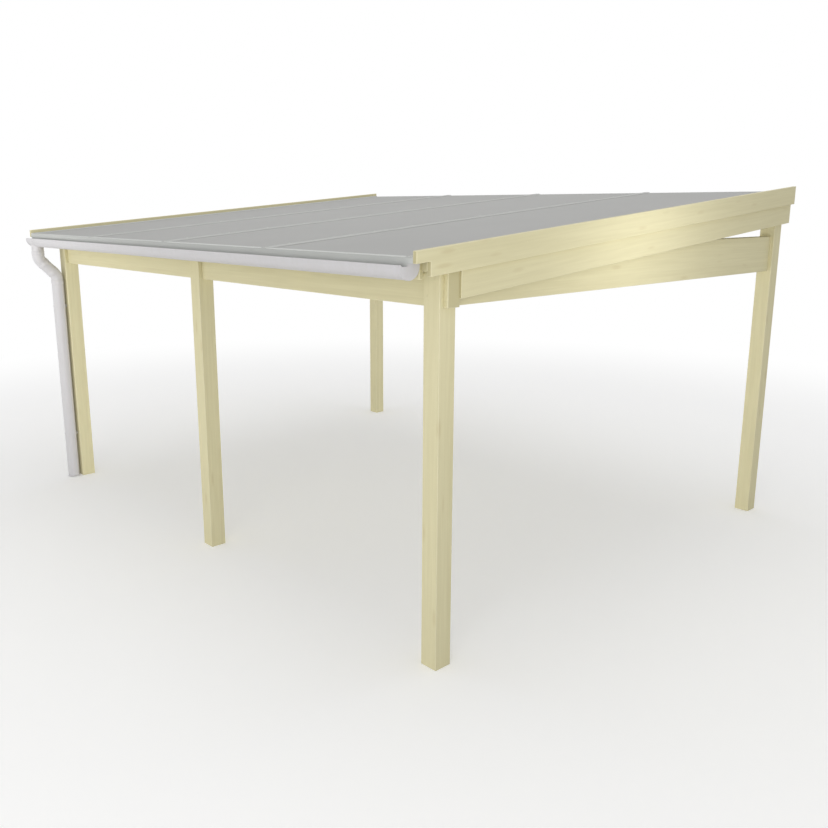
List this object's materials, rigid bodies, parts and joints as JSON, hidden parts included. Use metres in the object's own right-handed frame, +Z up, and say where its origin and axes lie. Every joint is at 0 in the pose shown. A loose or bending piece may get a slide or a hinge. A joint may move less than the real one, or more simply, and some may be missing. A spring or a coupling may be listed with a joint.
{
  "type": "sunroom frame",
  "caption": "Open lean-to sunroom frame: timber posts, beams and rafters under a low-pitched roof of grey sheets, with a half-round gutter and a downpipe on the low side.",
  "frame": {"origin": "on the ground, under the middle of the box that the whole frame fills", "axes": "+X along the gutter to the right as seen from the gutter side, +Y towards the high side at the house wall, +Z up"},
  "size_m": [5.2, 4.33, 2.7704],
  "materials": {
    "timber": "planed glued timber with a pale cream stain",
    "roof_sheet": "smooth grey roof sheet",
    "roof_bar": "light grey coated metal strip",
    "gutter": "smooth white plastic"
  },
  "bodies": {
    "root": {"post_front_left": "timber", "post_front_middle": "timber", "post_front_right": "timber", "post_back_left": "timber", "post_back_right": "timber", "front_beam": "timber", "back_beam": "timber", "left_side_beam": "timber", "right_side_beam": "timber", "left_edge_rafter": "timber", "left_rafter": "timber", "middle_rafter": "timber", "right_rafter": "timber", "right_edge_rafter": "timber", "roof_sheet_1": "roof_sheet", "roof_sheet_2": "roof_sheet", "roof_sheet_3": "roof_sheet", "roof_sheet_4": "roof_sheet", "joint_bar_1": "roof_bar", "joint_bar_2": "roof_bar", "joint_bar_3": "roof_bar", "left_edge_bar": "roof_bar", "right_edge_bar": "roof_bar", "eave_profile": "roof_bar", "high_edge_profile": "roof_bar", "left_gable_board": "timber", "right_gable_board": "timber", "left_verge_board": "timber", "right_verge_board": "timber", "eaves_board": "timber", "gutter": "gutter", "gutter_left_cap": "gutter", "gutter_right_cap": "gutter", "gutter_outlet": "gutter", "upper_pipe_bend": "gutter", "slanted_pipe": "gutter", "lower_pipe_bend": "gutter", "downpipe": "gutter", "pipe_brackets": "gutter"}
  },
  "joints": []
}
